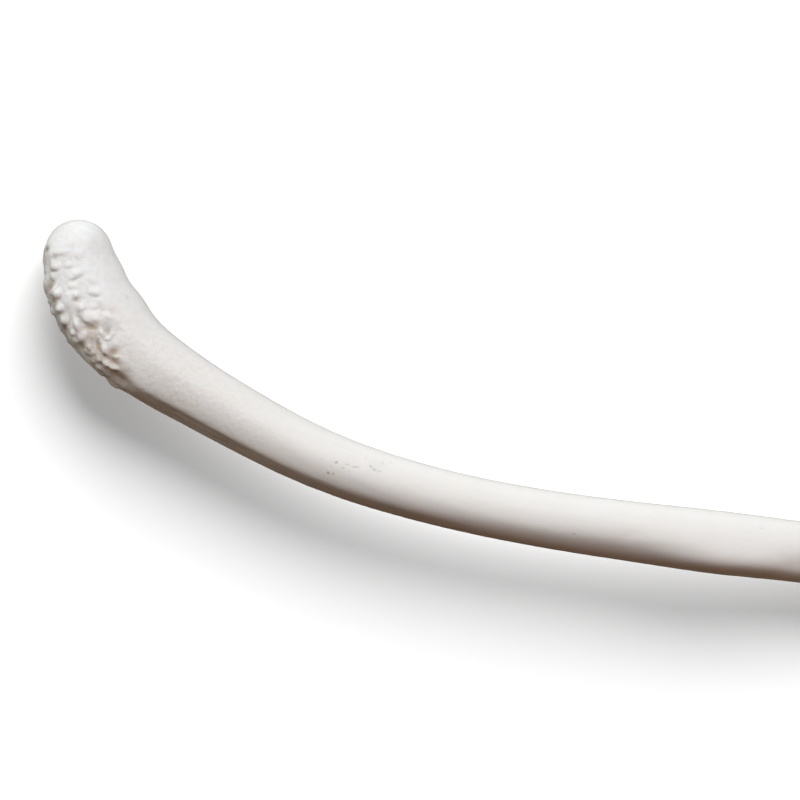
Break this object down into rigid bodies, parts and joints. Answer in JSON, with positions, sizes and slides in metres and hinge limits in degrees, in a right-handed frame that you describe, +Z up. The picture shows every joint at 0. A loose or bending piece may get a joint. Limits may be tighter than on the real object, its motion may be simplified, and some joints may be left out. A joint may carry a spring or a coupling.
{
  "type": "raccoon baculum",
  "caption": "Slender S-curved raccoon baculum lying on its side: knobbly base, smooth round shaft, hooked tip ending in two rounded lobes.",
  "frame": {"origin": "centre of the bounding box's base, on the surface that the bone lies on", "axes": "+X from the knobbly base towards the hook, +Y the way the base turns up, away from the tip, +Z up, across the plane of the bone's bend"},
  "size_m": [0.081, 0.0586, 0.0085],
  "materials": {
    "bone": "clean dry bone, off-white, faint waxy sheen"
  },
  "bodies": {
    "root": {"baculum": "bone"}
  },
  "joints": []
}
